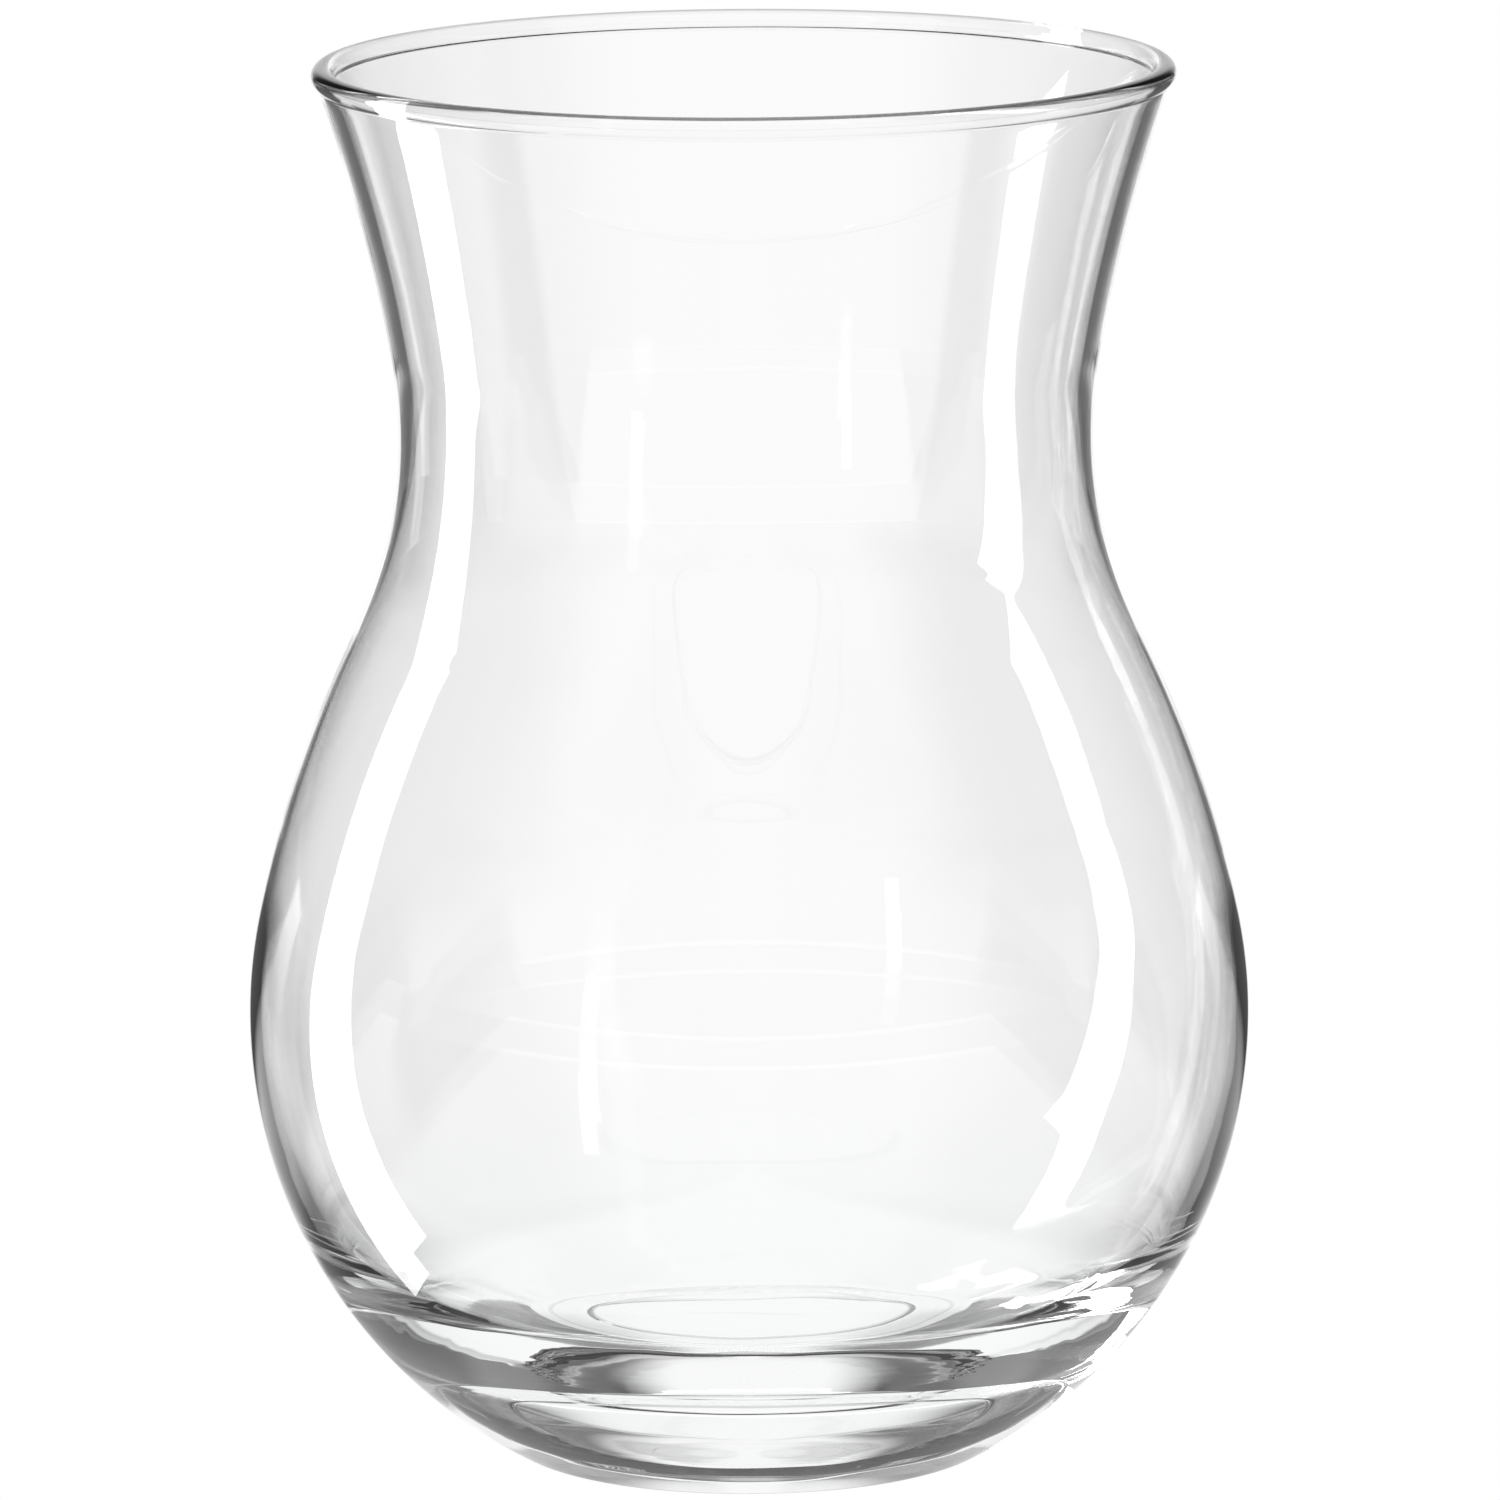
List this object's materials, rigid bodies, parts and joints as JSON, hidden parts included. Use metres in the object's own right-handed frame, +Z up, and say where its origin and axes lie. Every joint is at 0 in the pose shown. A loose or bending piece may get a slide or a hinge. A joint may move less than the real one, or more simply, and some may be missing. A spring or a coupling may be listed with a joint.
{
  "type": "hyacinth forcing vase",
  "caption": "Clear glass bulb vase with a round belly, a waisted neck that carries the bulb, a flared fire-polished mouth and a heavy solid base.",
  "frame": {"origin": "on the vase's axis, at the surface that it stands on", "axes": "+Z up along the axis, out of the mouth; +X to the right as pictured; +Y away from the viewer"},
  "size_m": [0.1286, 0.1286, 0.18],
  "materials": {
    "clear_glass": "clear, fire-polished inside and out, colourless with a faint cool cast in the thick base"
  },
  "bodies": {
    "root": {"glass_vase": "clear_glass"}
  },
  "joints": []
}
